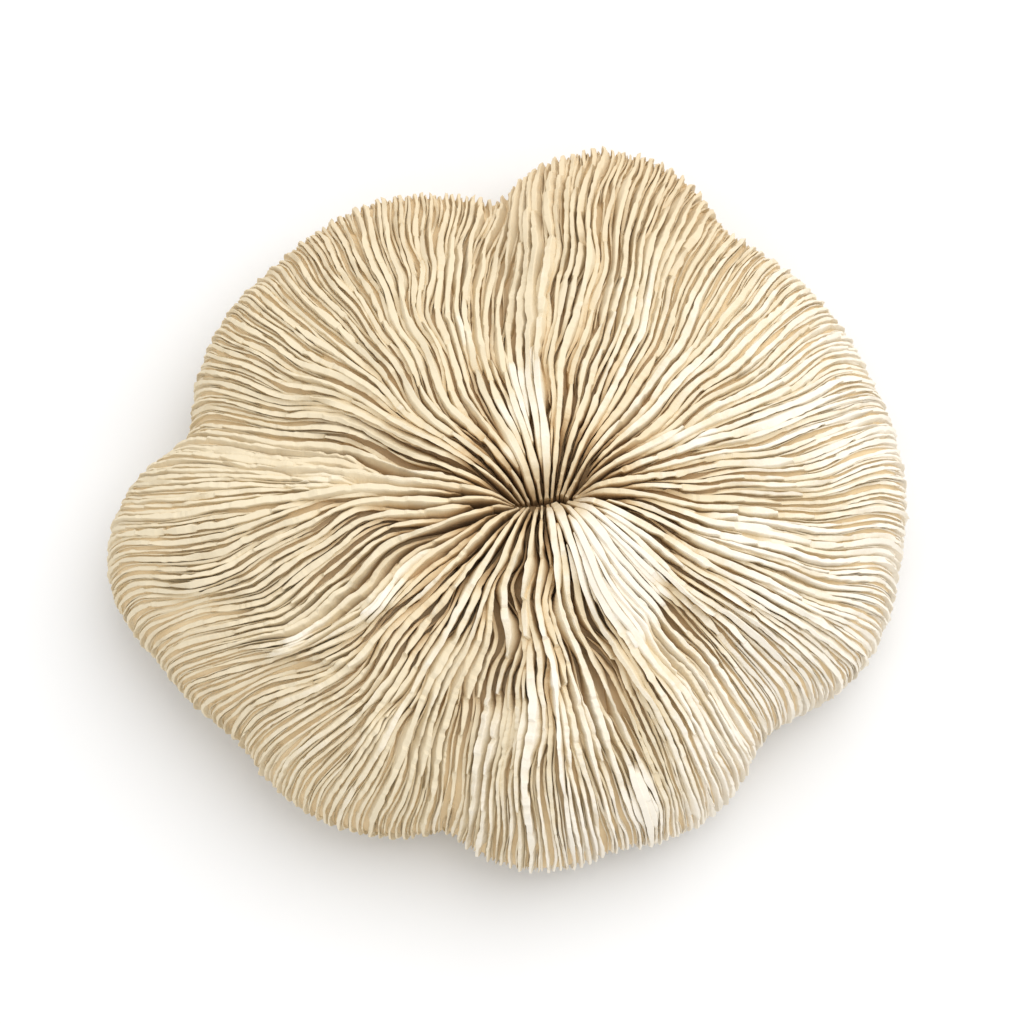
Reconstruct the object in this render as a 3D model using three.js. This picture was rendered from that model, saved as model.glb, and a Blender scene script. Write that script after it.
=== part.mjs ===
import * as THREE from "three";

// Mushroom coral: the bare limestone skeleton of one free-living polyp.
// The skeleton grows as one piece, so it is one closed body: a domed, lobed disc
// with a short mouth slit on top and a shallow hollow underneath.
// The body's skin passes through the tips of the radiating plates.
// Millimetres, +Z up, origin under the middle of the body at its resting plane.

// Mouth: where the plates spring from, in plan, and the slit's half length and turn.
const mouthX = 5.9;
const mouthY = -5.4;
const slitHalf = 4.5;
const slitTurn = 6;

// Lobes of the outline: bearing from the mouth in degrees, reach and tip radius.
const lobes = [
  [12, 60.4, 34.5],
  [44, 61.2, 50],
  [77.5, 67.7, 21.5],
  [124.5, 64.6, 33],
  [144.5, 64.8, 31.5],
  [184, 71.8, 19.5],
  [188.5, 67.6, 31],
  [222, 60.7, 28.5],
  [269.5, 55.7, 21],
  [294, 54.4, 23],
  [348, 58.3, 23.5],
];
const lobeBlend = 60;

// Dome: crown height, height of the widest line, and how square the shoulder is.
const crown = 40;
const girth = 10.5;
const shoulder = 2.35;

// Folds that run out from the mouth: bearing, half width in degrees, rise.
const folds = [
  [28, 16, 0.8],
  [52, 8, -1.6],
  [80, 13, 2.6],
  [101, 8, -3.2],
  [132, 20, 1.6],
  [165, 8, -2.6],
  [181, 11, 3],
  [203, 8, -1.4],
  [222, 14, 2],
  [252, 8, -3.4],
  [271, 10, 1.8],
  [288, 6, -1.8],
  [301, 8, 1.6],
  [315, 7, -2.8],
  [340, 12, 1.2],
  [356, 7, -1.2],
];

// Knolls on the dome: x and y from the mouth, turn, half length, half width, rise.
const knolls = [
  [10, -11, -61, 10, 4.5, 1.8],
  [-1, 18, 93, 13, 4, 1.4],
  [-26, -16.5, 41, 6, 3.2, 1.5],
  [-42, -23, 5, 11, 3.4, 1.6],
  [-55, -13, 10, 6, 3, 1.2],
  [15.5, -47.5, 70, 3.4, 2.4, 1.2],
  [-28, -38, 62, 6, 3, 1.1],
];

// Dip round the mouth slit.
const dipDepth = 8;
const dipReach = 2.9;

// Underside: flat resting ring, the hollow inside it and the scar at its middle,
// with the ring's edges as shares of the outline's reach.
const ringOuter = 0.84;
const ringInner = 0.79;
const hollowRise = 4.2;
const scarShare = 0.17;
const scarRise = 1.1;

// Grid of the skin.
const around = 112;
const topShares = [
  0.018, 0.036, 0.056, 0.078, 0.105, 0.14, 0.185, 0.24, 0.305, 0.375, 0.445, 0.52,
  0.595, 0.665, 0.73, 0.79, 0.845, 0.89, 0.928, 0.958, 0.98, 0.994, 1,
];
const tuckTurns = [15, 32, 50, 70, 90];
const hollowShares = [0.79, 0.68, 0.55, 0.42, 0.3, 0.21, 0.17, 0.12];

const radians = (degrees) => (degrees * Math.PI) / 180;

// Angle between two bearings, from -180 to 180 degrees.
function turnBetween(a, b) {
  return ((((a - b + 180) % 360) + 360) % 360) - 180;
}

// Reach of one round lobe along a bearing, nought where the bearing misses it.
function lobeReach([bearing, reach, radius], phi) {
  const centre = reach - radius;
  const side = centre * Math.sin(radians(phi - bearing));
  const square = radius * radius - side * side;
  if (square <= 0) return 0;
  return Math.max(centre * Math.cos(radians(phi - bearing)) + Math.sqrt(square), 0);
}

// Reach of the whole outline from the mouth: the lobes run together smoothly.
function outline(phi) {
  const reaches = lobes.map((lobe) => lobeReach(lobe, phi));
  const widest = Math.max(...reaches);
  const sum = reaches.reduce((s, r) => s + Math.pow(r / widest, lobeBlend), 0);
  return widest * Math.pow(sum, 1 / lobeBlend);
}

function smooth(low, high, x) {
  const t = Math.min(Math.max((x - low) / (high - low), 0), 1);
  return t * t * (3 - 2 * t);
}

// Rise of the folds along a bearing.
function foldRise(phi) {
  let rise = 0;
  for (const [bearing, width, height] of folds) {
    const t = turnBetween(phi, bearing) / width;
    rise += height * Math.exp(-t * t);
  }
  return rise;
}

// Slow unevenness of growth over the plan.
function swell(x, y) {
  const long = Math.sin(x / 9.5 + 0.8 * Math.sin(y / 13) + 0.6);
  const short = Math.sin(y / 6.3 - x / 11 + 1.9);
  return 0.55 * long * Math.cos(y / 8.7 - 0.4) + 0.35 * short;
}

// Rise of the knolls at a place in plan.
function knollRise(x, y) {
  let rise = 0;
  for (const [cx, cy, turn, along, across, height] of knolls) {
    const c = Math.cos(radians(turn));
    const s = Math.sin(radians(turn));
    const u = ((x - cx) * c + (y - cy) * s) / along;
    const v = ((y - cy) * c - (x - cx) * s) / across;
    rise += height * Math.exp(-u * u - v * v);
  }
  return rise;
}

// Depth of the dip at a place in plan, from its distance to the slit.
function dip(x, y) {
  const c = Math.cos(radians(slitTurn));
  const s = Math.sin(radians(slitTurn));
  const along = x * c + y * s;
  const past = Math.max(Math.abs(along) - slitHalf, 0);
  const off = Math.hypot(past, y * c - x * s);
  return dipDepth * Math.exp(-Math.pow(off / dipReach, 1.4));
}

// Point on the upper skin at a bearing and a share of the outline's reach.
function topPoint(phi, share) {
  const reach = outline(phi) * share;
  const x = reach * Math.cos(radians(phi));
  const y = reach * Math.sin(radians(phi));
  const relief = foldRise(phi) * smooth(0.12, 0.75, share) + knollRise(x, y) + swell(x, y);
  const fall = Math.pow(1 - Math.pow(share, shoulder), 1 / shoulder);
  const z = girth + (crown + relief - girth) * fall - dip(x, y);
  return [mouthX + x, mouthY + y, z];
}

// Point on the tuck that leads from the widest line down to the resting ring.
function tuckPoint(phi, turn) {
  const share = ringOuter + (1 - ringOuter) * Math.cos(radians(turn));
  const reach = outline(phi) * share;
  const z = turn === 90 ? 0 : girth * (1 - Math.sin(radians(turn)));
  return [mouthX + reach * Math.cos(radians(phi)), mouthY + reach * Math.sin(radians(phi)), z];
}

// Height of the underside's hollow at a share of the outline's reach.
function hollowHeight(share) {
  const bowl = hollowRise * smooth(ringInner, 0.3, share);
  return bowl + scarRise * smooth(scarShare + 0.05, scarShare - 0.02, share);
}

function hollowPoint(phi, share) {
  const reach = outline(phi) * share;
  const z = hollowHeight(share);
  return [mouthX + reach * Math.cos(radians(phi)), mouthY + reach * Math.sin(radians(phi)), z];
}

// One closed ring of points, all the way round the body.
function ring(pointAt, value) {
  const points = [];
  for (let i = 0; i < around; i++) points.push(pointAt((i * 360) / around, value));
  return points;
}

// Skin: rings from the mouth over the dome, round the edge and in to the scar.
function skin() {
  const rings = [
    ...topShares.map((share) => ring(topPoint, share)),
    ...tuckTurns.map((turn) => ring(tuckPoint, turn)),
    ...hollowShares.map((share) => ring(hollowPoint, share)),
  ];
  const points = [topPoint(0, 0), ...rings.flat(), hollowPoint(0, 0)];
  const last = points.length - 1;
  const at = (row, i) => 1 + row * around + (i % around);
  const faces = [];
  for (let i = 0; i < around; i++) {
    faces.push(0, at(0, i), at(0, i + 1));
    for (let row = 0; row < rings.length - 1; row++) {
      faces.push(at(row, i), at(row + 1, i), at(row + 1, i + 1));
      faces.push(at(row, i), at(row + 1, i + 1), at(row, i + 1));
    }
    faces.push(last, at(rings.length - 1, i + 1), at(rings.length - 1, i));
  }
  const geometry = new THREE.BufferGeometry();
  geometry.setAttribute("position", new THREE.Float32BufferAttribute(points.flat(), 3));
  geometry.setIndex(faces);
  geometry.computeVertexNormals();
  return geometry;
}

const limestone = new THREE.MeshStandardMaterial({
  color: 0xe9dcc0,
  roughness: 0.85,
  metalness: 0,
});

const corallum = new THREE.Mesh(skin(), limestone);
corallum.name = "corallum";

const group = new THREE.Group();
group.add(corallum);

export default group;
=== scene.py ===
import math
import bpy
import numpy as np
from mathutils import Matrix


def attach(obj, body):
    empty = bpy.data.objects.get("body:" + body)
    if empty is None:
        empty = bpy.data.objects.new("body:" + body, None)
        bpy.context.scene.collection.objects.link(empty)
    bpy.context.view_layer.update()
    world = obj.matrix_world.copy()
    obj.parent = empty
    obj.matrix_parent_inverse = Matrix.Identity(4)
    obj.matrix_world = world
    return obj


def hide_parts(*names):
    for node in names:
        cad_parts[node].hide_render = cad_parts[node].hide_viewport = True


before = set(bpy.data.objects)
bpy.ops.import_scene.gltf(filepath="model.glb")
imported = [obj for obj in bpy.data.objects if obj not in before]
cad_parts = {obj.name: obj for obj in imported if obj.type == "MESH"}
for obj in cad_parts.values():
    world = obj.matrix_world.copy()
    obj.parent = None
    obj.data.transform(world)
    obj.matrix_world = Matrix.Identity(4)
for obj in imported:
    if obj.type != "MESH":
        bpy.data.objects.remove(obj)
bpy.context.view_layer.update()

# Wall: the thin floor of limestone that all the plates stand on.
# The polyp laid it down first, spreading from a short mouth slit into lobes and folds, so
# it follows the skin through the plates' tips, drawn in deep at the mouth, shallow below.
# Lists of places are in millimetres from the mouth, and the meshes are in metres.
mm = 0.001
mouth = np.array([5.9, -5.4])
slit_half = 4.5
slit_turn = math.radians(6)

# Lobes of the outline: bearing from the mouth in degrees, reach and tip radius.
lobes = [
    (12, 60.4, 34.5), (44, 61.2, 50), (77.5, 67.7, 21.5), (124.5, 64.6, 33),
    (144.5, 64.8, 31.5), (184, 71.8, 19.5), (188.5, 67.6, 31), (222, 60.7, 28.5),
    (269.5, 55.7, 21), (294, 54.4, 23), (348, 58.3, 23.5),
]
lobe_blend = 60

# Dome: crown height, height of the widest line, squareness of the shoulder, mouth's dip.
crown = 40
girth = 10.5
shoulder = 2.35
dip_depth = 8
dip_reach = 2.9
dip_bend = 1.4

# Folds that run out from the mouth: bearing, half width in degrees, rise. They begin
# and come to their full rise at these shares of the way out.
fold_start = 0.12
fold_full = 0.75
folds = [
    (28, 16, 0.8), (52, 8, -1.6), (80, 13, 2.6), (101, 8, -3.2), (132, 20, 1.6),
    (165, 8, -2.6), (181, 11, 3), (203, 8, -1.4), (222, 14, 2), (252, 8, -3.4),
    (271, 10, 1.8), (288, 6, -1.8), (301, 8, 1.6), (315, 7, -2.8), (340, 12, 1.2),
    (356, 7, -1.2),
]

# Knolls on the dome: x and y from the mouth, turn, half length, half width, rise.
knolls = [
    (10, -11, -61, 10, 4.5, 1.8), (-1, 18, 93, 13, 4, 1.4), (-26, -16.5, 41, 6, 3.2, 1.5),
    (-42, -23, 5, 11, 3.4, 1.6), (-55, -13, 10, 6, 3, 1.2), (15.5, -47.5, 70, 3.4, 2.4, 1.2),
    (-28, -38, 62, 6, 3, 1.1),
]

# Underside: the flat resting ring as shares of the outline, its hollow and middle scar.
ring_outer = 0.84
ring_inner = 0.79
hollow_rise = 4.2
hollow_full = 0.3
scar_share = 0.17
scar_rise = 1.1

# Growth along a plate: 0 at the mouth, 1 at the widest line, then round the tuck, over
# the resting ring and through the hollow to the rim of the scar and its middle.
widest = 1
tuck_end = 1.2
ring_end = 1.25
scar_edge = 2
scar_middle = 2.2


def smooth(low, high, x):
    t = np.clip((x - low) / (high - low), 0, 1)
    return t * t * (3 - 2 * t)


def outline(phi):
    reaches = []
    for bearing, reach, radius in lobes:
        centre = reach - radius
        side = centre * np.sin(phi - math.radians(bearing))
        along = centre * np.cos(phi - math.radians(bearing))
        square = np.maximum(radius * radius - side * side, 0)
        reaches.append(np.where(square > 0, np.maximum(along + np.sqrt(square), 0), 0))
    reaches = np.array(reaches)
    largest = reaches.max(0)
    return largest * ((reaches / largest) ** lobe_blend).sum(0) ** (1 / lobe_blend)


# Sum of oval bumps, each given as x, y, turn, half length, half width and height.
def bumps(x, y, which):
    total = np.zeros_like(x)
    for cx, cy, turn, along, across, height in which:
        c = math.cos(math.radians(turn))
        s = math.sin(math.radians(turn))
        u = ((x - cx) * c + (y - cy) * s) / along
        v = ((y - cy) * c - (x - cx) * s) / across
        total = total + height * np.exp(-u * u - v * v)
    return total


def fold_rise(phi):
    rise = np.zeros_like(phi)
    for bearing, width, height in folds:
        t = ((np.degrees(phi) - bearing + 180) % 360 - 180) / width
        rise = rise + height * np.exp(-t * t)
    return rise


# Slow unevenness of growth over the plan.
def swell(x, y):
    long = np.sin(x / 9.5 + 0.8 * np.sin(y / 13) + 0.6)
    short = np.sin(y / 6.3 - x / 11 + 1.9)
    return 0.55 * long * np.cos(y / 8.7 - 0.4) + 0.35 * short


def mouth_dip(x, y):
    c = math.cos(slit_turn)
    s = math.sin(slit_turn)
    past = np.maximum(np.abs(x * c + y * s) - slit_half, 0)
    off = np.hypot(past, y * c - x * s)
    return dip_depth * np.exp(-((off / dip_reach) ** dip_bend))


def top_height(phi, share, x, y):
    relief = fold_rise(phi) * smooth(fold_start, fold_full, share)
    relief = relief + bumps(x, y, knolls) + swell(x, y)
    fall = np.maximum(1 - share ** shoulder, 0) ** (1 / shoulder)
    return girth + (crown + relief - girth) * fall - mouth_dip(x, y)


# How the plates swing on their way out: bearing at the edge, and how far ahead of it
# they run at 0.3, 0.5 and 0.7 of the way, in degrees.
swings = np.array([
    (0, -6, -6, -5), (14, -9, -8, -6), (22, -1, -2, 0), (36, -5, -4, -2), (55, -6, -5, -2),
    (68, -6, -5, -1), (80, 2, 0, 0), (89, 4, 2, 1), (95, 17, 12, 7), (105, 20, 13, 5),
    (116, 18, 11, 5), (136, 9, 5, 4), (151, 0, 0, 2), (164, -1, -4, -1), (171, 2, 2, 3),
    (185, -6, 0, 3), (198, -6, -1, 4), (206, 6, 13, 9), (217, 8, 10, 6), (230, 4, 5, 3),
    (243, -1, 0, 0), (263, -9, -3, -2), (274, -8, -3, -2), (285, -9, -5, -3),
    (296, -8, -5, -1), (311, -6, -2, 0), (322, 0, 0, 1), (334, 0, -2, -2), (350, -6, -7, -5),
])
swing_shares = np.array([0, 0.3, 0.5, 0.7, 1])
swing_at_mouth = 0.7
swing_blur = 29


# The swing at each bearing and share, evened out over about seven degrees.
def swing(edge, share):
    ahead = [np.interp(edge, swings[:, 0], swings[:, k], period=360) for k in (1, 2, 3)]
    columns = [ahead[0] * swing_at_mouth, ahead[0], ahead[1], ahead[2], ahead[0] * 0]
    kernel = np.exp(-np.linspace(-2, 2, swing_blur) ** 2)
    kernel = kernel / kernel.sum()
    rows = edge.size
    soft = np.array([np.convolve(np.tile(c, 3), kernel, "same")[rows:2 * rows] for c in columns])
    span = np.clip(np.searchsorted(swing_shares, share, side="right") - 1, 0, 3)
    part = (share - swing_shares[span]) / (swing_shares[span + 1] - swing_shares[span])
    part = (smooth(0, 1, part) + part) / 2
    return (soft[span] * (1 - part)[:, None] + soft[span + 1] * part[:, None]).T


# Slow drift of the plates' lines to the side, as crossing waves.
rng = np.random.default_rng(11)


def random_waves(length, size, count):
    waves = []
    for _ in range(count):
        way = rng.uniform(0, 2 * math.pi)
        number = 2 * math.pi / (length * rng.uniform(0.7, 1.4))
        phase = rng.uniform(0, 2 * math.pi)
        height = size / math.sqrt(count)
        waves.append((number * math.cos(way), number * math.sin(way), phase, height))
    return waves


def ripple(x, y, waves):
    total = np.zeros_like(x)
    for across, up, phase, size in waves:
        total = total + size * np.sin(across * x + up * y + phase)
    return total


drift = random_waves(28, 0.5, 5) + random_waves(12, 0.12, 7)

# Places where the lines are pushed to the side: x, y, turn, half length, half width, push.
# The drift and the pushes grow between the first two shares of the way out and fade
# between the last two.
push_grows = (0.15, 0.5)
push_fades = (0.93, 1)
pushes = [
    (-40, -22, 33, 9, 3.4, 1.4), (-41, -28.5, 30, 9, 3.2, -0.9), (-54, -11.5, 12, 6, 3, 1.3),
    (-55, -17.5, 12, 6, 3, -0.8), (-34, 2.2, 0, 7, 3, 1.0), (-34, -3.6, 5, 7, 3, -0.7),
    (-27, -16.5, 42, 7, 3, 1.1), (-23, -23, 40, 7, 3, -1.1), (12.8, -47.5, 288, 5.5, 2.6, -0.9),
    (18.4, -47, 288, 5.5, 2.6, 0.9), (24, -27, 310, 6, 3.4, 0.9), (33, 8, 15, 7, 3.5, -0.8),
    (-20, 34, 120, 7, 3.5, 0.9), (8, 38, 80, 8, 3.5, -0.9), (-2, -34, 266, 7, 3.2, 0.8),
]

# Grid of the skin through the plates' tips: rows by bearing at the edge, columns by growth.
edge_step = 0.5
edges = np.arange(0, 360, edge_step)
growths = np.concatenate([
    np.linspace(0, widest, 241)[:-1],
    np.linspace(widest, tuck_end, 25)[:-1],
    np.linspace(tuck_end, ring_end, 5)[:-1],
    np.linspace(ring_end, scar_edge, 61)[:-1],
    np.linspace(scar_edge, scar_middle, 13),
])
on_top = growths <= widest
scar_rim = scar_share + 0.02
slit_fade = 1.3


# Share of the outline's reach at each growth.
def reach_share():
    turn = (growths - widest) / (tuck_end - widest) * math.pi / 2
    corner = ring_outer + (1 - ring_outer) * np.cos(turn)
    past_tuck = np.interp(
        growths,
        [tuck_end, ring_end, scar_edge, scar_middle],
        [ring_outer, ring_inner, scar_rim, 0],
    )
    dome = np.sin(np.minimum(growths, widest) * math.pi / 2) ** (2 / shoulder)
    return np.where(on_top, dome, np.where(growths <= tuck_end, corner, past_tuck))


# Height of the skin past the widest line.
def low_height(share):
    turn = (growths - widest) / (tuck_end - widest) * math.pi / 2
    bowl = hollow_rise * smooth(ring_inner, hollow_full, share)
    scar = scar_rise * smooth(scar_share + 0.05, scar_share - 0.02, share)
    under = np.where(growths <= ring_end, 0, bowl + scar)
    return np.where(growths <= tuck_end, girth * (1 - np.sin(turn)), under)


def skin_grid():
    share = reach_share()
    theta = np.radians(edges[:, None]) - slit_turn + np.zeros((1, growths.size))
    theta[:, on_top] += np.radians(swing(edges, share[on_top]))
    reach = outline(theta + slit_turn) * share
    spread = np.where(on_top, slit_half * (1 - share) ** slit_fade, 0)
    a = (reach + spread) * np.cos(theta)
    b = reach * np.sin(theta)
    x = a * math.cos(slit_turn) - b * math.sin(slit_turn)
    y = a * math.sin(slit_turn) + b * math.cos(slit_turn)
    phi = np.arctan2(y, x)
    held = np.where(on_top, smooth(*push_grows, share) * (1 - smooth(*push_fades, share)), 0)
    push = (ripple(x, y, drift) + bumps(x, y, pushes)) * held
    x = x - np.sin(phi) * push
    y = y + np.cos(phi) * push
    phi = np.arctan2(y, x)
    true_share = np.clip(np.hypot(x, y) / outline(phi), 0, 1)
    z = np.where(on_top, top_height(phi, true_share, x, y), low_height(share))
    return np.stack([x + mouth[0], y + mouth[1], z], axis=-1)


def unit(v):
    return v / np.maximum(np.linalg.norm(v, axis=-1, keepdims=True), 1e-9)


# The skin, the way out of it, and how wide one step round the mouth is at each place.
# The way out turns upright near the mouth, where the plates stand straight in the dip.
skin = skin_grid()
sideways = (np.roll(skin, -1, axis=0) - np.roll(skin, 1, axis=0)) / 2
onward = np.gradient(skin, axis=1)
outward = unit(np.cross(onward, sideways))
outward[:, -1] = (0, 0, -1)
upright_growths = (0.03, 0.16)
plumb = (1 - smooth(*upright_growths, growths))[None, :, None]
outward = unit(outward * (1 - plumb) + plumb * np.array([0, 0, 1]))
step_width = np.linalg.norm(np.cross(sideways, unit(onward)), axis=-1)


# Value of a grid at bearings and growths that lie between its rows and columns.
def sample(grid, edge, growth):
    row = (edge / edge_step) % edges.size
    near_row = np.floor(row).astype(int) % edges.size
    far_row = (near_row + 1) % edges.size
    across = row - np.floor(row)
    column = np.interp(growth, growths, np.arange(growths.size))
    start = np.minimum(column.astype(int), growths.size - 2)
    along = column - start
    if grid.ndim == 3:
        across = across[..., None]
        along = along[..., None]
    near = grid[near_row, start] * (1 - across) + grid[far_row, start] * across
    far = grid[near_row, start + 1] * (1 - across) + grid[far_row, start + 1] * across
    return near * (1 - along) + far * along


# Depth of the wall under the plates' tips, by growth. Some places have taller or lower
# plates: x and y from the mouth, turn, half length, half width, change as a share.
depth_growths = [0, 0.08, 0.25, 0.4, 0.6, 0.8, 1, 1.2, 1.3, 2, 2.05]
depths = [5.5, 5.0, 3.5, 2.45, 1.65, 1.15, 1.15, 0.85, 0.55, 0.5, 0]
stand_changes = [
    (9, 50, 10, 24, 17, 1.0), (-22, 42, 150, 22, 12, 0.3), (0, -50, 0, 22, 15, 0.75),
    (-50, -6, 0, 24, 20, -0.5), (26, 2, 0, 16, 12, -0.35), (-16, 20, 130, 16, 13, -0.3),
]


# The inner wall is a little deeper to the front and the left: change per millimetre.
depth_slope_x = -0.004
depth_slope_y = -0.012
slope_reach = 25
slope_fades = (0.45, 0.75)
change_fades = (0.84, widest)


def wall_depth(growth, x, y):
    inner = depth_slope_y * np.clip(y, -slope_reach, slope_reach)
    inner = inner + depth_slope_x * np.clip(x, -slope_reach, slope_reach)
    inner = inner * (1 - smooth(*slope_fades, growth))
    outer = bumps(x - mouth[0], y - mouth[1], stand_changes) * (1 - smooth(*change_fades, growth))
    return np.interp(growth, depth_growths, depths) * (1 + inner + outer)


# The wall's mesh is a ball moved onto the drawn-in skin. The first six tenths of the turn
# from its top pole to its bottom one go to the dome, which needs them most.
ball_turns = [0, 0.6, 0.75, 1]
turn_growths = [0, widest, 1.3, scar_middle]

bpy.ops.object.select_all(action="DESELECT")
bpy.ops.mesh.primitive_uv_sphere_add(segments=200, ring_count=110, radius=1)
wall = bpy.context.object
wall.name = "wall"
ball = np.zeros(len(wall.data.vertices) * 3)
wall.data.vertices.foreach_get("co", ball)
ball = ball.reshape(-1, 3)
ball_edge = np.degrees(np.arctan2(ball[:, 1], ball[:, 0])) % 360
ball_turn = 0.5 - np.arcsin(np.clip(ball[:, 2], -1, 1)) / math.pi
ball_growth = np.interp(ball_turn, ball_turns, turn_growths)
wall_points = sample(skin, ball_edge, ball_growth)
drawn_in = wall_depth(ball_growth, wall_points[:, 0], wall_points[:, 1])
wall_points = wall_points - sample(outward, ball_edge, ball_growth) * drawn_in[:, None]
wall.data.vertices.foreach_set("co", (wall_points * mm).ravel())
wall.data.update()
bpy.ops.object.shade_smooth()


# One shader socket, so that shader maths can be written as an expression.
class Value:
    def __init__(self, tree, socket=None):
        self.tree = tree
        self.socket = socket

    # Any node: its type, its settings, and its inputs by name or, as i0, i1, by number.
    def node(self, kind, settings=None, **inputs):
        made = self.tree.nodes.new(kind)
        for key, value in (settings or {}).items():
            setattr(made, key, value)
        for key, value in inputs.items():
            by_number = key[0] == "i" and key[1:].isdigit()
            target = made.inputs[int(key[1:])] if by_number else made.inputs[key.replace("_", " ")]
            if isinstance(value, Value):
                self.tree.links.new(value.socket, target)
            else:
                target.default_value = value
        return made

    def read(self, kind, output, settings=None, **inputs):
        return Value(self.tree, self.node(kind, settings, **inputs).outputs[output])

    def maths(self, operation, first, second):
        return self.read("ShaderNodeMath", 0, {"operation": operation}, i0=first, i1=second)

    def __add__(self, other):
        return self.maths("ADD", self, other)

    def __sub__(self, other):
        return self.maths("SUBTRACT", self, other)

    def __mul__(self, other):
        return self.maths("MULTIPLY", self, other)

    def clamp(self):
        return self.read("ShaderNodeClamp", 0, Value=self)

    def blend(self, low, high):
        return self.read("ShaderNodeMix", 2, {"data_type": "RGBA"}, i0=self, i6=low, i7=high)

    def feed(self, shader, name):
        self.tree.links.new(self.socket, shader.inputs[name])


noise = "ShaderNodeTexNoise"


# Dry, chalky limestone: a rough material with a fine grain in its surface.
def limestone(name):
    material = bpy.data.materials.new(name)
    material.use_nodes = True
    shader = material.node_tree.nodes["Principled BSDF"]
    shader.inputs["Roughness"].default_value = 0.85
    shader.inputs["Specular IOR Level"].default_value = 0.25
    start = Value(material.node_tree)
    where = start.read("ShaderNodeTexCoord", "Object")
    grain = start.read(noise, "Fac", Vector=where, Scale=2600.0, Detail=3.0, Roughness=0.7)
    bump = start.read("ShaderNodeBump", 0, Height=grain, Strength=0.35, Distance=0.00025)
    bump.feed(shader, "Normal")
    return material, shader, where, grain


# How far out a place is: 0 round the mouth, 1 out on the sides, where the painted shade is paler.
# The painted shade round the mouth reaches this many metres, and pales at this rate per metre.
mouth_place = (mouth[0] * mm, mouth[1] * mm, 0.03)
shade_reach = 0.014
paling = 36.0


def far_share(where):
    kind = "ShaderNodeVectorMath"
    distance = where.read(kind, 1, {"operation": "DISTANCE"}, i0=where, i1=mouth_place)
    return ((distance - shade_reach) * paling).clamp()


# Colours of the deep parts, all painted shade: deep tan and amber round the mouth, honey out on the
# sides.
deep_tan = (0.60, 0.42, 0.22, 1)
amber = (0.50, 0.31, 0.15, 1)
honey = (0.80, 0.64, 0.41, 1)

# The wall lies deep between the plates, so its darker colour is painted shade.
wall_stone, wall_shader, wall_where, _ = limestone("wall limestone")
wall_slow = wall_where.read(noise, "Fac", Vector=wall_where, Scale=45.0, Detail=3.0)
wall_colour = far_share(wall_where).blend(wall_slow.blend(amber, deep_tan), honey)
wall_colour.feed(wall_shader, "Base Color")
wall.data.materials.append(wall_stone)
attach(wall, "root")
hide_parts("corallum")

# Septa: the thin upright plates of limestone that radiate from the mouth to the edge.
# A new one grew wherever two neighbours had grown far enough apart, low and thin at
# first, and most run on under the edge as low ribs. Their crests are chipped and worn.
# Gaps are in millimetres: about the least that lets a new plate in and about the one at
# which it stands full height, then those that squeeze it out underneath and on top.
first_count = 26
first_growth = 0.03
first_unevenness = 0.25
split_gap = 1.1
full_gap = 3.1
rib_gap = 1.0
crowd_gap = 0.8
last_split = 1.1
last_crowd = 0.9

gap_table = np.concatenate([np.zeros((1, growths.size)), np.cumsum(step_width, axis=0)])


# Distance round the mouth to a bearing at the edge, at every growth.
def edge_reach(edge):
    turns = math.floor(edge / 360)
    row = (edge - 360 * turns) / edge_step
    start = min(int(row), edges.size - 1)
    part = row - start
    return gap_table[start] * (1 - part) + gap_table[start + 1] * part + turns * gap_table[-1]


def first_septa():
    column = int(np.searchsorted(growths, first_growth))
    total = gap_table[-1, column]
    shift = rng.uniform(-first_unevenness, first_unevenness, first_count)
    marks = (np.arange(first_count) + shift) * total / first_count
    return np.sort(np.interp(marks % total, gap_table[:, column], np.append(edges, 360)))


# Where a plate between two others begins and stops, or nothing where there is no room.
def septum_between(a, b, begin, end):
    width = edge_reach(b) - edge_reach(a)
    wanted = split_gap * rng.uniform(0.8, 1.2)
    roomy = (growths > begin) & (growths <= min(last_split, end)) & (width > wanted)
    if not roomy.any():
        return None
    start = growths[roomy][0] + rng.uniform(0, 0.02)
    crowded = (growths > start + 0.05) & (growths < min(end, last_crowd)) & (width < crowd_gap)
    thin = (growths > tuck_end) & (growths < end) & (width < rib_gap)
    squeezed = crowded | thin
    stop = growths[squeezed][0] if squeezed.any() else end
    tall = 1 - 0.5 * rng.uniform() ** 1.5
    level = smooth(wanted, full_gap * rng.uniform(0.85, 1.25), width) * tall
    return a + (b - a) * rng.uniform(0.35, 0.65), start, stop, level, crowded.any()


# Every plate as its bearing, its start and stop, its share of full height, and whether
# it is one of the first.
def grow_septa():
    firsts = first_septa()
    full = np.ones(growths.size)
    found = [(edge, rng.uniform(0, 0.002), scar_edge, full, True) for edge in firsts]
    nexts = np.append(firsts[1:], firsts[0] + 360)
    queue = [(edge, after, 0.004, scar_edge) for edge, after in zip(firsts, nexts)]
    while queue:
        a, b, begin, end = queue.pop()
        made = septum_between(a, b, begin, end)
        if made is None:
            continue
        middle, start, stop, level, crowded = made
        found.append((middle % 360, start, stop, level, False))
        queue.append((a, middle, start, stop))
        queue.append((middle, b, start, stop))
        if crowded:
            queue.append((a, b, stop + 0.02, end))
    return sorted(found, key=lambda septum: septum[0])


# Room on each side of every plate, by growth: neighbours share the gap between them, the
# tall and the plump ones taking more.
plumpness = 0.32
least_weight = 0.35


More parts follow.
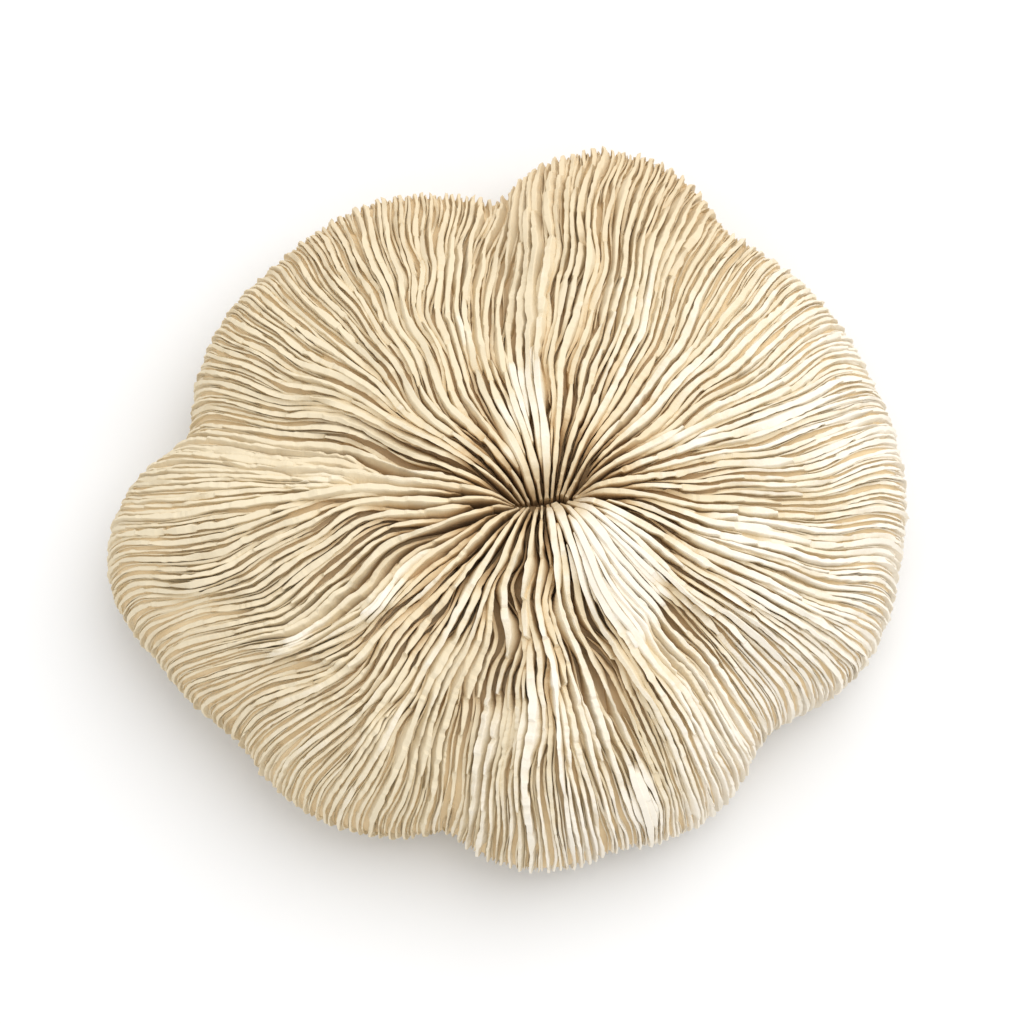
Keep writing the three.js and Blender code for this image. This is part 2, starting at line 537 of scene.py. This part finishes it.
def neighbour_rooms(septa_found):
    reach = np.array([edge_reach(s[0]) for s in septa_found])
    level = np.array([s[3] for s in septa_found])
    starts = np.array([s[1] for s in septa_found])
    stops = np.array([s[2] for s in septa_found])
    plump = rng.lognormal(0, plumpness, len(septa_found))
    before = np.full(reach.shape, np.nan)
    after = np.full(reach.shape, np.nan)
    for j, growth in enumerate(growths):
        live = np.where((starts <= growth + 0.01) & (stops >= growth - 0.02))[0]
        if not live.size:
            continue
        here = reach[live, j]
        step = np.diff(np.append(here, here[0] + gap_table[-1, j]))
        weight = (least_weight + level[live, j]) * plump[live]
        to_next = weight / (weight + np.roll(weight, -1))
        after[live, j] = step * to_next
        before[live, j] = np.roll(step * (1 - to_next), 1)
    return before, after


room_blur = 19


def even_out(row):
    good = np.isfinite(row)
    filled = np.interp(growths, growths[good], row[good])
    kernel = np.hanning(room_blur)
    kernel = kernel / kernel.sum()
    return np.convolve(np.pad(filled, room_blur // 2, mode="edge"), kernel, "valid")


# Unevenness along a plate: random values every so many millimetres, joined smoothly.
def run_noise(along, length, size, sharp=1):
    knots = rng.normal(0, size, int(along[-1] / length) + 4)
    t = along / length + rng.uniform(0, 1)
    k = t.astype(int)
    part = smooth(0, 1, t - k) ** sharp
    return knots[k] * (1 - part) + knots[k + 1] * part


# Broken teeth of a crest: it drops at once behind each tooth and climbs slowly back.
# Gives the drop, and how close each place is to the tip of a tooth.
def teeth(along, length, size):
    drops = np.maximum(rng.normal(0, size, int(along[-1] / length) + 4), 0)
    t = along / length + rng.uniform(0, 1)
    k = t.astype(int)
    part = t - k
    drop = drops[k] * (1 - part) ** 1.5
    tip = smooth(0.55, 1, part) * np.clip(drops[k + 1] / size, 0, 1)
    return drop, tip


lean_waves = random_waves(16, 0.22, 5)

# Places where the crests are worn flat and have closed up into a smooth crust.
worn_places = [
    (10, -11.5, -58, 12, 6.4, 1.5), (-2.6, 11, 96, 7.5, 3.8, 1.3), (-3, 22, 95, 9, 2.6, 0.55),
    (-26.5, -38, 47, 6, 2, 0.55), (15.7, -46.5, -72, 4.6, 1.9, 1.3), (-34, 2.4, 5, 8, 2, 0.6),
    (34, -3.6, 0, 12, 2.4, 0.46), (-40, -23.4, 30, 8, 1.5, 0.75), (-54, -13, 12, 6, 1.6, 0.75),
    (22, 9, 20, 10, 3, 0.55), (-12, 26, 115, 8, 2, 0.5), (-25, -17.4, 40, 7, 1.6, 0.75),
]

# Ledges: places where the crests rise to a lip and drop past it. x, y, facing, half
# length, rise, and how far back the rise fades. All have the same steep lip and foot.
lip_width = 0.25
foot_reach = 2.5
foot_share = 0.6
ledges = [
    (-40, -25, 255, 10, 1.3, 8), (-54.6, -14.4, 265, 6.5, 1.3, 6),
    (-25.5, -19.8, 297, 7.5, 1.3, 5), (-34, -0.6, 268, 8, 0.9, 5),
]


def ledge_rise(x, y):
    total = np.zeros_like(x)
    for cx, cy, facing, half, rise, back in ledges:
        c = math.cos(math.radians(facing))
        s = math.sin(math.radians(facing))
        ahead = (x - cx) * c + (y - cy) * s
        along = (y - cy) * c - (x - cx) * s
        side = np.exp(-(along / half) ** 4)
        before = 1 / (1 + np.exp(np.clip(ahead / lip_width, -30, 30)))
        lip = before * np.exp(np.minimum(ahead, 0) / back)
        foot = (1 - before) * np.exp(-np.maximum(ahead, 0) / foot_reach)
        total = total + rise * side * (lip - foot_share * foot)
    return total


# Millimetres from one cross-section of a plate to the next, by growth: fine where the
# plates are seen best, coarse on the ribs underneath.
pace_growths = [0, 0.5, 0.96, 1.05, 1.2, 1.3, 2]
paces = [0.52, 0.52, 0.6, 0.9, 1.4, 2.6, 2.6]
path_steps = 600
fewest_sections = 6


def plate_path(edge, start, stop):
    fine = np.linspace(start, stop, path_steps)
    line = sample(skin, np.full(fine.size, edge), fine)
    lengths = np.concatenate([[0], np.cumsum(np.linalg.norm(np.diff(line, axis=0), axis=1))])
    pace = np.interp(fine, pace_growths, paces)
    ticks = np.concatenate([[0], np.cumsum(np.diff(lengths) / pace[1:])])
    count = max(int(ticks[-1]) + 1, fewest_sections)
    growth = np.interp(np.linspace(0, ticks[-1], count), ticks, fine)
    return growth, np.interp(growth, fine, lengths)


# How far the crest stands below the skin, along one plate. A young plate is lower by a
# share of the wall's depth, chips go no deeper than a share of it, and wear levels them.
tooth_length = 6.5
tooth_size = 0.65
full_stand = 2.5
young_drop = 0.6
levelling = 0.75
deepest_chip = 0.65


def crest_drop(growth, along, ends, level, stand, worn, place):
    nicks = np.abs(run_noise(along, 1.1, 0.15, 4)) + np.abs(run_noise(along, 5, 0.2, 4))
    drop, tip = teeth(along, tooth_length, tooth_size)
    size = np.clip(stand / full_stand, 0.45, 1)
    low = (1 - np.interp(growth, growths, level)) * stand * young_drop
    sink = (low + (nicks + drop) * size) * (1 - levelling * worn)
    top = 1 - smooth(1.0, ring_end, growth)
    sink = np.minimum(sink, stand * deepest_chip) * top
    sink = sink + (stand + 0.2) * ends
    return np.minimum(sink - ledge_rise(*place) * top, stand + 0.4), tip * (1 - worn) * top


# Share of a plate's room that its crest fills, by growth.
crest_growths = [0, 0.06, 0.15, 0.35, 0.6, 0.85, 1]
crest_shares = [0.5, 0.72, 0.88, 0.86, 0.72, 0.54, 0.38]

# Cross-section of a plate: how far to the side, and how far up from foot to crest.
profile_side = np.array([-1, -0.86, -0.78, -0.62, 0.62, 0.78, 0.86, 1])
profile_rise = np.array([0.0, 0.62, 0.95, 1.0, 1.0, 0.95, 0.62, 0.0])
crest_side = 0.8
least_room = 0.1
widest_room = 1.3
worn_room = 0.9


# Reach of the cross-section to each side, along one plate.
def side_reach(growth, along, point, rooms, worn):
    rough = (1 - smooth(1.2, 1.4, growth)) * (1 - 0.6 * worn)
    sides = []
    for room in rooms:
        room = np.interp(growth, growths, even_out(room))
        room = np.clip(room, least_room, widest_room + worn_room * worn)
        chips = run_noise(along, 1.2, 0.13, 6) + run_noise(along, 5, 0.14, 3)
        chips = chips + run_noise(along, 11, 0.22)
        sides.append((room * 0.97 * point * np.clip(1 + chips * rough, 0.45, 1.25))[:, None])
    crest_share = np.interp(growth, crest_growths, crest_shares)
    crest_share = crest_share + (1.03 - crest_share) * worn
    crested = np.abs(profile_side) < 0.9
    slim = np.where(crested, crest_share[:, None] / crest_side, 1) * profile_side
    return np.where(profile_side < 0, sides[0], sides[1]) * slim


# Line of one plate on the skin, swaying a little to the side, with the way up and across.
def plate_line(edge, growth, along):
    quiet = smooth(0.01, 0.12, growth) * (1 - smooth(1.3, 1.6, growth))
    sway = run_noise(along, 13, 0.1) + run_noise(along, 4, 0.03, 2)
    row = np.full(growth.size, edge)
    row = row + sway * quiet * edge_step / np.maximum(sample(step_width, row, growth), 0.02)
    place = sample(skin, row, growth)
    normal = unit(sample(outward, row, growth))
    side = unit(np.cross(normal, unit(np.gradient(place, axis=0))))
    lean = ripple(place[:, 0], place[:, 1], lean_waves) + run_noise(along, 9, 0.13)
    return place, unit(normal + side * (lean * quiet)[:, None]), side


# Painted shade on the plates, as a paleness: 1 on a crest in the light, 0 deep down by the mouth. It
# falls with depth, less so out on the dome, and is painted darker still on the plates' first few
# millimetres.
shade_depth = 5.6
mouth_end_shade = 0.25
outer_relief = 0.45


def painted_depth_shade(growth, height):
    dark = -height / shade_depth + (mouth_end_shade * (1 - smooth(0, 0.14, growth)))[:, None]
    return np.clip(1 - dark * (1 - outer_relief * smooth(0.3, 0.8, growth))[:, None], 0, 1)


# Cross-sections of one plate, the painted shade of each corner, and how worn the plate is.
thin_end = 0.35
foot_depth = 0.5
worn_lift = 0.35


def plate(edge, start, stop, level, first, rooms):
    growth, along = plate_path(edge, start, stop)
    place, up, side = plate_line(edge, growth, along)
    x = place[:, 0] - mouth[0]
    y = place[:, 1] - mouth[1]
    wear = bumps(x, y, worn_places) + run_noise(along, 3, 0.08, 4) + rng.normal(0, 0.08)
    worn = smooth(0.3, 0.75, wear) * (1 - smooth(0.9, 1.1, growth))
    stand = wall_depth(growth, place[:, 0], place[:, 1])
    left = along[-1] - along
    ends = 2 - smooth(0, 0.3 if first else 1.6, along)
    ends = ends - smooth(0, 0.7 if stop < widest else 1.6, left)
    sink, tip = crest_drop(growth, along, ends, level, stand, worn, (x, y))
    taper = 1 if first else thin_end + (1 - thin_end) * smooth(0, 4.5, along)
    if stop < widest:
        taper = taper * (thin_end + (1 - thin_end) * smooth(0, 4, left))
    across = side_reach(growth, along, taper * (1 - 0.5 * tip), rooms, worn)
    foot = -(stand + foot_depth)[:, None]
    tilt = run_noise(along, 5, 0.12) * (1 - 0.7 * worn)
    sink = sink - worn_lift * worn
    crest = -sink[:, None] + tilt[:, None] * np.sign(profile_side)
    height = foot + (crest - foot) * profile_rise
    points = place[:, None] + side[:, None] * across[..., None] + up[:, None] * height[..., None]
    points[..., 2] = np.maximum(points[..., 2], 0)
    return points, painted_depth_shade(growth, height), worn


# Mesh of a batch of plates: each is a closed bar of cross-sections with capped ends.
corners = profile_side.size


def bar_faces(count, base):
    k = np.arange(count - 1)[:, None] * corners + base
    j = np.arange(corners)
    after = (j + 1) % corners
    sides = np.stack([k + j, k + after, k + corners + after, k + corners + j], axis=-1)
    caps = [j[::-1] + base, j + base + (count - 1) * corners]
    return sides.reshape(-1, 4), caps


def join_plates(name, batch):
    quads = []
    caps = []
    base = 0
    for points, pale, chance in batch:
        sides, ends = bar_faces(len(points), base)
        quads.append(sides)
        caps.extend(ends)
        base += points.shape[0] * corners
    quads = np.concatenate(quads)
    places = np.concatenate([points.reshape(-1, 3) for points, _, _ in batch]) * mm
    marks = np.concatenate([np.stack([chance, pale.ravel()], 1) for _, pale, chance in batch])
    loops = np.concatenate([quads.ravel(), np.concatenate(caps)])
    mesh = bpy.data.meshes.new(name)
    mesh.vertices.add(len(places))
    mesh.vertices.foreach_set("co", places.ravel())
    mesh.loops.add(len(loops))
    mesh.loops.foreach_set("vertex_index", loops)
    mesh.polygons.add(len(quads) + len(caps))
    cap_starts = quads.size + np.arange(len(caps)) * corners
    mesh.polygons.foreach_set("loop_start", np.concatenate([np.arange(len(quads)) * 4, cap_starts]))
    mesh.polygons.foreach_set("use_smooth", np.zeros(len(mesh.polygons), bool))
    uv = mesh.uv_layers.new(name="plate")
    mesh.update(calc_edges=True)
    uv.data.foreach_set("uv", marks[loops].ravel())
    mesh.validate()
    piece = bpy.data.objects.new(name, mesh)
    bpy.context.scene.collection.objects.link(piece)
    return piece


# Plates' colours: painted shade in brown and tan low down, cream above, and bleached chalk white on
# some crests.
brown = (0.16, 0.085, 0.04, 1)
tan = (0.82, 0.67, 0.44, 1)
cream = (0.79, 0.685, 0.495, 1)
straw = (0.75, 0.58, 0.36, 1)
chalk = (0.90, 0.835, 0.72, 1)

plate_stone, plate_shader, where, grain = limestone("plate limestone")
slow = where.read(noise, "Fac", Vector=where, Scale=45.0, Detail=3.0)
blotch = where.read(noise, "Fac", Vector=where, Scale=420.0, Detail=2.0)
to_right = where.read("ShaderNodeSeparateXYZ", "X", Vector=where)
to_back = where.read("ShaderNodeSeparateXYZ", "Y", Vector=where)
marks = where.read("ShaderNodeUVMap", 0, {"uv_map": "plate"})
whiteness = where.read("ShaderNodeSeparateXYZ", "X", Vector=marks)
depth = where.read("ShaderNodeSeparateXYZ", "Y", Vector=marks)

# From the foot of a plate to its crest: brown, then tan, then cream, each blended in over a part of
# the height, as painted shade. Towards the back the stone is darkened to straw, also as painted
# shade.
back_start = 0.012
back_rate = 24.0
straw_share = 0.8
rise = depth * 2.0 - 1.0
dark = (depth * 2.0).clamp().blend(brown, far_share(where).blend(deep_tan, honey))
low = (rise * 1.9).clamp().blend(dark, far_share(where).blend(tan, cream))
body = ((rise - 0.35) * 1.8).clamp().blend(low, cream)
back_shaded = (to_back * 14.0 - 0.1).clamp().blend(body, straw)
back = ((to_back - back_start) * back_rate).clamp()
body = (back * straw_share).blend(body, back_shaded)

# Some crests are bleached to chalk, by chance and where they are worn. More of them are white to the
# right
# and the front than at the back: painted light on the lit right side, and painted shade at the back.
painted_light_right = 18.0
painted_shade_back = 5.0
back_loss = 0.55
usual_whiteness = 0.24
crest_start = 0.85
painted_light_by_side = to_right * painted_light_right - to_back * painted_shade_back - back * back_loss
luck = (slow - 0.5) * 2.0 + (whiteness - usual_whiteness) * 1.2 + (grain - 0.5) + (blotch - 0.5) * 0.9
pale = (luck + (rise - crest_start) * 2.0 + painted_light_by_side).clamp()
pale.blend(body, chalk).feed(plate_shader, "Base Color")

# The plates are made in turn round the mouth and gathered into a few pieces.
most_triangles = 180000
chance_share = 0.5
septa_found = grow_septa()
befores, afters = neighbour_rooms(septa_found)
batches = [[]]
load = 0
for septum, before, after in zip(septa_found, befores, afters):
    points, shade, worn = plate(*septum, (before, after))
    if load > most_triangles:
        batches.append([])
        load = 0
    chance = rng.uniform() * chance_share + worn * (1 - chance_share)
    batches[-1].append((points, shade, np.repeat(chance, corners)))
    load += (len(points) - 1) * 2 * corners + 2 * (corners - 2)

for number, batch in enumerate(batches, 1):
    septa = join_plates("septa_" + str(number), batch)
    septa.data.materials.append(plate_stone)
    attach(septa, "root")
    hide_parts("corallum")

# Studio floor: a sheet of matt white paper, wide enough to fill the view.
# It lies just below the resting ring.
floor_width = 4
floor_height = -0.0002

bpy.ops.object.select_all(action="DESELECT")
bpy.ops.mesh.primitive_plane_add(size=floor_width, location=(0, 0, floor_height))
floor = bpy.context.object
floor.name = "floor"
paper = bpy.data.materials.new("white paper")
paper.use_nodes = True
paper_shader = paper.node_tree.nodes["Principled BSDF"]
paper_shader.inputs["Base Color"].default_value = (0.86, 0.86, 0.86, 1)
paper_shader.inputs["Roughness"].default_value = 0.9
paper_shader.inputs["Specular IOR Level"].default_value = 0.1
floor.data.materials.append(paper)

# Lights: a white studio all round, and one broad round light from behind on the right.
# Its size gives the soft shadow on the near left side.
world = bpy.data.worlds.new("studio")
bpy.context.scene.world = world
world.use_nodes = True
studio = world.node_tree.nodes["Background"]
studio.inputs["Color"].default_value = (1, 1, 1, 1)
studio.inputs["Strength"].default_value = 0.92

key_place = np.array([0.40, 0.38, 1.1])
key_aim = np.array([0, 0, 0.02])
key_light = bpy.data.lights.new("key", "AREA")
key_light.shape = "DISK"
key_light.size = 1.3
key_light.energy = 8.0
key = bpy.data.objects.new("key", key_light)
bpy.context.scene.collection.objects.link(key)
beam = key_aim - key_place
key.location = key_place
yaw = math.atan2(beam[1], beam[0])
pitch = math.atan2(beam[2], math.hypot(beam[0], beam[1]))
key.rotation_euler = (pitch + math.pi / 2, 0, yaw - math.pi / 2)

# Camera: a long lens looking steeply down from the front.
# The view is wide enough for the whole outline and its shadow.
elevation = math.radians(75)
distance = 0.57
view_width = 0.16744
aim = (0.0007, -0.0022, 0.015)
camera_data = bpy.data.cameras.new("camera")
camera_data.lens = camera_data.sensor_width * distance / view_width
camera_data.clip_start = 0.01
camera = bpy.data.objects.new("camera", camera_data)
bpy.context.scene.collection.objects.link(camera)
bpy.context.scene.camera = camera
camera.location = (
    aim[0],
    aim[1] - distance * math.cos(elevation),
    aim[2] + distance * math.sin(elevation),
)
camera.rotation_euler = (math.pi / 2 - elevation, 0, 0)
bpy.context.scene.view_settings.view_transform = "Standard"
